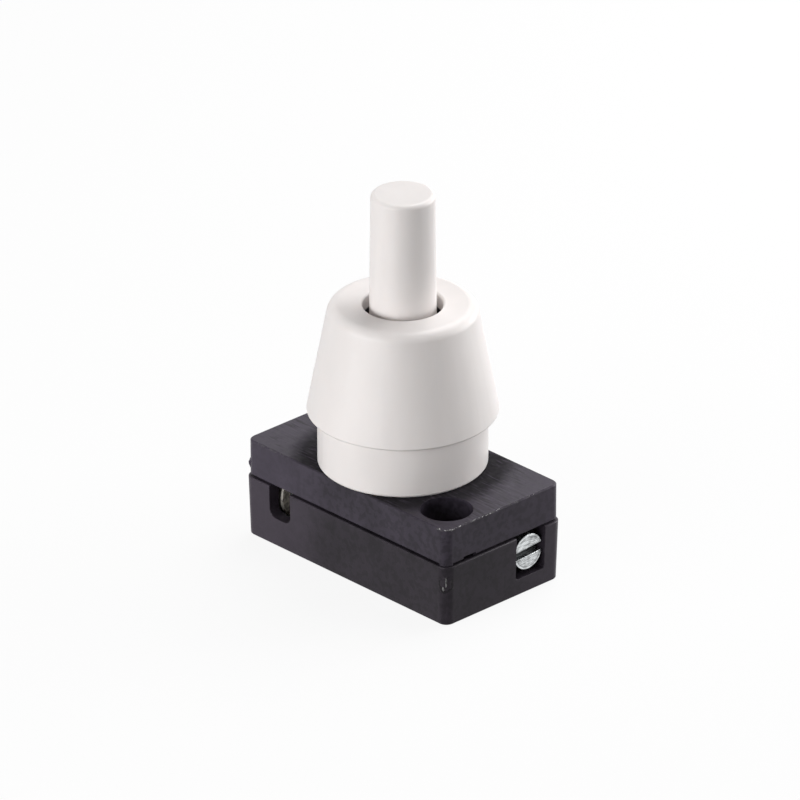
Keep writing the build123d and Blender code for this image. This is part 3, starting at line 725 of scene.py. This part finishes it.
def cover_edge(sizes, run):
    """Place on the cover's top edge and its outward direction, a run from the middle of the front corner."""
    radius = sizes.cover_corner
    half_arc = radius * math.pi / 4
    past = max(abs(run) - half_arc, 0.0)
    angle = max(min(run, half_arc), -half_arc) / radius + FRONT_CORNER
    outward = Vector((math.cos(angle), math.sin(angle), 0.0))
    middle = Vector((COVER_HIGH.x - radius, COVER_LOW.y + radius, COVER_TOP))
    along = Vector((0.0, past, 0.0)) if run > 0 else Vector((-past, 0.0, 0.0))
    return middle + radius * outward + along, outward


def torn_flakes(sizes):
    """A bmesh of small torn flakes: thick on the cover's front corner, then in clumps along its end."""
    # Scatter along the edge in millimetres, and powers that crowd clumps and flakes together
    corner_middle, corner_scatter, clump_scatter = -0.15, 0.65, 0.16
    clump_crowding, stray_crowding = 1.3, 1.5
    # Ranges beside the mean size and the edge's rounding, and of angles in radians
    span, stretches, sink = (0.5, 1.9), ((0.5, 1.0), (0.7, 2.0), (0.3, 0.8)), (0.2, 0.5)
    twist, tip = (-0.6, 0.6), (0.2, 1.2)
    draw = random.Random(FLAKE_SEED)
    mesh = bmesh.new()
    clumps = [sizes.flake_run * draw.random() ** clump_crowding for _ in range(sizes.flake_clumps)]
    for _ in range(sizes.flake_count):
        if draw.random() < sizes.flake_corner:
            run = draw.gauss(corner_middle, corner_scatter) * MM
        else:
            run = draw.choice(clumps) + draw.gauss(0.0, clump_scatter) * MM
        spot, outward = cover_edge(sizes, run)
        size = sizes.flake_size * draw.uniform(*span)
        flake = bmesh.ops.create_icosphere(mesh, subdivisions=1, radius=size)["verts"]
        stretch = [draw.uniform(*limits) for limits in stretches]
        bmesh.ops.scale(mesh, verts=flake, vec=stretch)
        heading = math.atan2(outward.y, outward.x) + draw.uniform(*twist)
        turned = Matrix.Rotation(heading, 3, "Z") @ Matrix.Rotation(draw.uniform(*tip), 3, "Y")
        bmesh.ops.rotate(mesh, verts=flake, matrix=turned)
        # Near the edge, or strayed from it over the top or down the side
        stray = sizes.flake_stray * draw.random() ** stray_crowding
        rim = sizes.housing_edge * draw.uniform(*sink) + size / 2
        inward, down = (stray, 0.0) if draw.random() < 0.5 else (0.0, stray)
        spot -= (rim + inward) * outward + Vector((0.0, 0.0, rim + down))
        bmesh.ops.translate(mesh, verts=flake, vec=spot)
    return mesh


def moulding_mark(axis, radius, heading, width, height, proud):
    """A bmesh of an uneven oval lump that a mould leaves, bent round an upright corner's axis."""
    unevenness, dents = 0.22, 1.9
    mesh = bmesh.new()
    lump = bmesh.ops.create_icosphere(mesh, subdivisions=4, radius=1.0)["verts"]
    for vertex in lump:
        vertex.co *= 1.0 + unevenness * mathutils.noise.noise(vertex.co * dents)
    bmesh.ops.scale(mesh, verts=lump, vec=(2 * proud, width / 2, height / 2))
    bmesh.ops.translate(mesh, verts=lump, vec=(radius - proud, 0.0, 0.0))
    for vertex in lump:
        reach, aside, above = vertex.co
        bend = heading + aside / radius
        vertex.co = axis + Vector((reach * math.cos(bend), reach * math.sin(bend), above))
    return mesh


def twin(mesh):
    """A copy of a bmesh, turned half round the switch."""
    other = mesh.copy()
    bmesh.ops.transform(other, matrix=HALF_TURN, verts=other.verts)
    return other


class SWITCH_OT_housing(bpy.types.Operator):
    """Black base and cover with rounded edges, a worn end and moulding marks"""

    bl_idname = "switch.housing"
    bl_label = "Housing"

    def execute(self, context):
        sizes, finish = context.scene.switch_sizes, context.scene.switch_finish
        rough, wear_and_highlight = finish.black_rough, (finish.worn_and_highlight_black, sizes.cover_corner)
        crevice_shade_tone = finish.base_black * finish.crevice_shade
        tear_and_glint_tone = finish.torn_black * finish.tear_shade
        base_black = black_moulding("base_black", finish.base_black, rough, end_light=1.3)
        cover_black = black_moulding("cover_black", finish.cover_black, rough, end_light=0.6, wear_and_highlight=wear_and_highlight)
        crevice_shade_black = black_moulding("crevice_shade_black", crevice_shade_tone, rough, end_light=0.0)
        torn_black = torn_moulding("torn_black", finish.torn_black, fleck_scale=3600.0)
        tear_and_glint_black = torn_moulding("tear_and_glint_black", tear_and_glint_tone, fleck_scale=1200.0)
        rounded_piece("base", "base_shell", sizes.housing_edge, base_black, "housing")
        cover = place_piece(
            threaded_cover(sizes), "cover_shell", cover_black, "housing", ("cover",)
        )
        flatten_shading(cover)
        place_piece(torn_flakes(sizes), "worn_edge_flakes", torn_black, "housing")
        self.add_scar(sizes, base_black, crevice_shade_black, tear_and_glint_black)
        self.add_pip(sizes, cover_black)
        return {"FINISHED"}

    @staticmethod
    def add_scar(sizes, base_black, crevice_shade_black, tear_and_glint_black):
        """The blister on the base's front corner, ringed by a darker lump that is painted shade for its
        crevice, and two pale tears that are partly painted highlights.
        """
        rounding = sizes.base_corner
        radius = rounding - sizes.corner_lean
        axis = Vector((BASE_HIGH.x - rounding, BASE_LOW.y + rounding, SEAM - sizes.scar_drop))
        width, height, proud = sizes.scar_width, sizes.scar_height, sizes.scar_proud
        blister_width, blister_height, low = 0.78 * width, 0.84 * height, proud / 3
        # Painted shade: a flatter, darker lump round the blister stands for the shade in its crevice
        crevice = moulding_mark(axis, radius, FRONT_CORNER, width, height, low)
        place_piece(crevice, "scar_crevice_shade", crevice_shade_black, "housing")
        blister = moulding_mark(axis, radius, FRONT_CORNER, blister_width, blister_height, proud)
        place_piece(blister, "scar_blister", base_black, "housing")
        # Each tear: how far beside and above the scar's middle, and its height, in millimetres
        # The pale tears also stand in for the lamp's highlights on the blister, as painted highlights
        for letter, aside, above, tall in (("a", 0.0, 0.22, 1.05), ("b", -0.27, -0.55, 0.5)):
            middle = axis + Vector((0.0, 0.0, above * MM))
            heading = FRONT_CORNER + aside * MM / radius
            tear = moulding_mark(middle, radius + proud, heading, sizes.tear_width, tall * MM, low)
            place_piece(tear, f"scar_tear_glint_{letter}", tear_and_glint_black, "housing")

    @staticmethod
    def add_pip(sizes, cover_black):
        """The gate pip on the cover's far corner."""
        radius = sizes.cover_corner
        axis = Vector((COVER_LOW.x + radius, COVER_LOW.y + radius, SEAM + sizes.pip_rise))
        pip = moulding_mark(axis, radius, FAR_CORNER, sizes.pip_width, sizes.pip_height, sizes.pip_proud)
        place_piece(pip, "gate_pip", cover_black, "housing")


class SWITCH_OT_white_mouldings(bpy.types.Operator):
    """White ring, conical nut and plunger"""

    bl_idname = "switch.white_mouldings"
    bl_label = "White Mouldings"

    def execute(self, context):
        sizes, finish = context.scene.switch_sizes, context.scene.switch_finish
        white = white_moulding("white_moulding", finish.white, finish.white_rough)
        hole = (sizes.nut_hole, sizes.hole_unshaded_depth)
        nut_white = white_moulding("nut_white", finish.white, finish.white_rough, hole)
        for node, body, material in (
            ("spacer_ring", "housing", white), ("cone_nut", "nut", nut_white), ("plunger", "button", white),
        ):
            rounded_piece(node, f"{node}_shell", sizes.white_edge, material, body)
        return {"FINISHED"}


class SWITCH_OT_terminals(bpy.types.Operator):
    """Slotted screws with their thread, and the clamp washers"""

    bl_idname = "switch.terminals"
    bl_label = "Terminals"

    def execute(self, context):
        sizes, finish = context.scene.switch_sizes, context.scene.switch_finish
        zinc = turned_zinc("turned_zinc", finish.zinc)
        washer_rim = (WASHER_HIGH.y - WASHER_LOW.y) / 2
        brass = tarnished_brass("washer_brass", finish.dull_brass, finish.rubbed_edge_glint, washer_rim)
        screw = threaded_screw(sizes)
        for letter, mesh in (("b", twin(screw)), ("a", screw)):
            screw_node, washer_node = f"terminal_screw_{letter}", f"clamp_washer_{letter}"
            place_piece(mesh, f"slotted_screw_{letter}", zinc, "housing", (screw_node,))
            rounded_piece(washer_node, f"clamp_disc_{letter}", sizes.metal_edge, brass, "housing")
        return {"FINISHED"}


class SWITCH_OT_mechanism(bpy.types.Operator):
    """Ratchet wheel, contacts, rivets and return spring"""

    bl_idname = "switch.mechanism"
    bl_label = "Mechanism"

    def execute(self, context):
        sizes, finish = context.scene.switch_sizes, context.scene.switch_finish
        rotor_grey = rotor_moulding("rotor_moulding", finish.rotor_grey)
        brass = worked_metal("contact_brass", finish.brass, mean_rough=0.32, scratches=(1.0, 1.0, 10.0))
        rivet_metal = worked_metal("rivet_metal", finish.rivet, mean_rough=0.42, scratches=(6.0, 6.0, 1.0))
        steel = worked_metal("spring_steel", finish.steel, mean_rough=0.3, scratches=(1.0, 1.0, 6.0))
        edge = sizes.metal_edge
        rounded_piece("rotor", "ratchet_wheel", edge, rotor_grey, "ratchet")
        rounded_piece("contact_bridge", "bridge_bar", edge, brass, "ratchet")
        for letter in ("a", "b"):
            strip_node, rivet_node = f"contact_strip_{letter}", f"housing_rivet_{letter}"
            rounded_piece(strip_node, f"folded_strip_{letter}", edge, brass, "housing")
            rounded_piece(rivet_node, f"tube_rivet_{letter}", edge, rivet_metal, "housing")
        spring = place_piece(
            coil_spring(sizes), "closed_coil", steel, "housing", ("return_spring",)
        )
        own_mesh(spring)
        return {"FINISHED"}


def stand_back(thing, aim, azimuth, elevation, distance):
    """Stand a lamp or a camera off from its aim, at an angle round it and above it, and point it there."""
    level = math.cos(elevation)
    back = Vector((math.sin(azimuth) * level, -math.cos(azimuth) * level, math.sin(elevation)))
    thing.location = aim + distance * back
    thing.rotation_mode = "QUATERNION"
    thing.rotation_quaternion = back.to_track_quat("Z", "Y")
    bpy.context.scene.collection.objects.link(thing)


def add_lamp(name, watts, width, height):
    """A soft rectangular lamp, not yet in its place."""
    data = bpy.data.lights.new(name, "AREA")
    data.shape = "RECTANGLE"
    data.size = width
    data.size_y = height
    data.energy = watts
    return bpy.data.objects.new(name, data)


def seen_rays(tree):
    """One where the camera, a mirror or a lens looks, and nought for the light between surfaces."""
    path = add_node(tree, "ShaderNodeLightPath").outputs
    seen = math_node(tree, "MAXIMUM", path["Is Camera Ray"], path["Is Glossy Ray"])
    return math_node(tree, "MAXIMUM", seen, path["Is Transmission Ray"])


class SWITCH_OT_stage(bpy.types.Operator):
    """Camera, soft lamps, white surround and pale floor"""

    bl_idname = "switch.stage"
    bl_label = "Stage"

    def execute(self, context):
        scene, studio = context.scene, context.scene.switch_studio
        scene.view_settings.view_transform = "Standard"
        self.add_camera(scene, studio)
        self.add_lamps(studio)
        self.make_world(scene, studio)
        self.make_floor(scene, studio)
        return {"FINISHED"}

    @staticmethod
    def add_camera(scene, studio):
        """A long lens, aimed a little left of the switch's axis."""
        data = bpy.data.cameras.new("camera")
        data.lens = studio.lens
        data.clip_start = 0.01
        data.clip_end = 10.0
        scene.camera = bpy.data.objects.new("camera", data)
        right = Vector((math.cos(studio.azimuth), math.sin(studio.azimuth), 0.0))
        aim = Vector((0.0, 0.0, studio.aim_height)) - studio.aim_side * right
        stand_back(scene.camera, aim, studio.azimuth, studio.elevation, studio.distance)

    @staticmethod
    def add_lamps(studio):
        """Soft lamps on the left and on the right, and one above."""
        middle = Vector((0.0, 0.0, studio.aim_height))
        key = add_lamp("key_lamp", studio.key_power, studio.key_width, studio.side_height)
        rim = add_lamp("rim_lamp", studio.rim_power, studio.rim_width, studio.side_height)
        top = add_lamp("top_lamp", studio.top_power, studio.top_width, studio.top_width)
        for lamp, side, height, distance in (
            (key, studio.key_side, studio.lamp_height, studio.side_distance),
            (rim, studio.rim_side, studio.lamp_height, studio.side_distance),
            (top, studio.top_side, studio.top_height, studio.top_distance),
        ):
            stand_back(lamp, middle, studio.azimuth + side, height, distance)

    @staticmethod
    def make_world(scene, studio):
        """White where it is seen, dimmer as a light."""
        world = bpy.data.worlds.new("surround")
        world.use_nodes = True
        tree = world.node_tree
        background = tree.nodes["Background"]
        background.inputs["Color"].default_value = (1.0, 1.0, 1.0, 1.0)
        strength = spread(tree, seen_rays(tree), 0.0, 1.0, studio.fill, 1.0)
        tree.links.new(strength, background.inputs["Strength"])
        scene.world = world

    @staticmethod
    def make_floor(scene, studio):
        """A wide pale floor that keeps a faint shadow."""
        mesh = bmesh.new()
        bmesh.ops.create_grid(mesh, x_segments=8, y_segments=8, size=1.5)
        bmesh.ops.translate(mesh, verts=mesh.verts, vec=(0.0, 0.0, BASE_LOW.z - FLOOR_GAP))
        data = bpy.data.meshes.new("floor")
        mesh.to_mesh(data)
        mesh.free()
        made, tree, shader = start_material("floor_paper")
        between = add_node(tree, "ShaderNodeLightPath").outputs["Is Diffuse Ray"]
        shade = blend_colours(tree, between, tint(studio.floor_colour, 1.0), tint(studio.bounce_colour, 1.0))
        tree.links.new(shade, shader.inputs["Base Color"])
        shader.inputs["Roughness"].default_value = 0.9
        shader.inputs["Specular IOR Level"].default_value = 0.0
        glow = add_node(tree, "ShaderNodeEmission", {"Color": (1.0, 1.0, 1.0, 1.0), "Strength": 1.0})
        seen = spread(tree, seen_rays(tree), 0.0, 1.0, 0.0, 1.0 - studio.shadow)
        mixed = add_node(tree, "ShaderNodeMixShader", {0: seen, 1: shader.outputs[0], 2: glow.outputs[0]})
        tree.links.new(mixed.outputs[0], tree.nodes["Material Output"].inputs["Surface"])
        data.materials.append(made)
        floor = bpy.data.objects.new("floor", data)
        scene.collection.objects.link(floor)


class SWITCH_PT_panel(bpy.types.Panel):
    """The switch's pieces, sizes and finishes"""

    bl_label = "Lamp Switch"
    bl_idname = "SWITCH_PT_panel"
    bl_space_type = "VIEW_3D"
    bl_region_type = "UI"
    bl_category = "Switch"

    def draw(self, context):
        layout = self.layout
        for group in (context.scene.switch_sizes, context.scene.switch_finish, context.scene.switch_studio):
            box = layout.box()
            for key in group.bl_rna.properties.keys():
                if key not in ("rna_type", "name"):
                    box.prop(group, key)
        for operator in OPERATORS:
            layout.operator(operator.bl_idname)


GROUPS = {"switch_sizes": SwitchSizes, "switch_finish": SwitchFinish, "switch_studio": SwitchStudio}
OPERATORS = (
    SWITCH_OT_housing, SWITCH_OT_white_mouldings, SWITCH_OT_terminals, SWITCH_OT_mechanism, SWITCH_OT_stage,
)


def register():
    """Register the groups, operators and panel."""
    for cls in (*GROUPS.values(), *OPERATORS, SWITCH_PT_panel):
        bpy.utils.register_class(cls)
    for key, group in GROUPS.items():
        setattr(bpy.types.Scene, key, bpy.props.PointerProperty(type=group))


def unregister():
    """Undo register."""
    for key in GROUPS:
        delattr(bpy.types.Scene, key)
    for cls in (SWITCH_PT_panel, *reversed(OPERATORS), *GROUPS.values()):
        bpy.utils.unregister_class(cls)


def main():
    """Build every piece and the stage."""
    register()
    bpy.ops.switch.housing()
    bpy.ops.switch.white_mouldings()
    bpy.ops.switch.terminals()
    bpy.ops.switch.mechanism()
    bpy.ops.switch.stage()


if __name__ == "__main__":
    main()
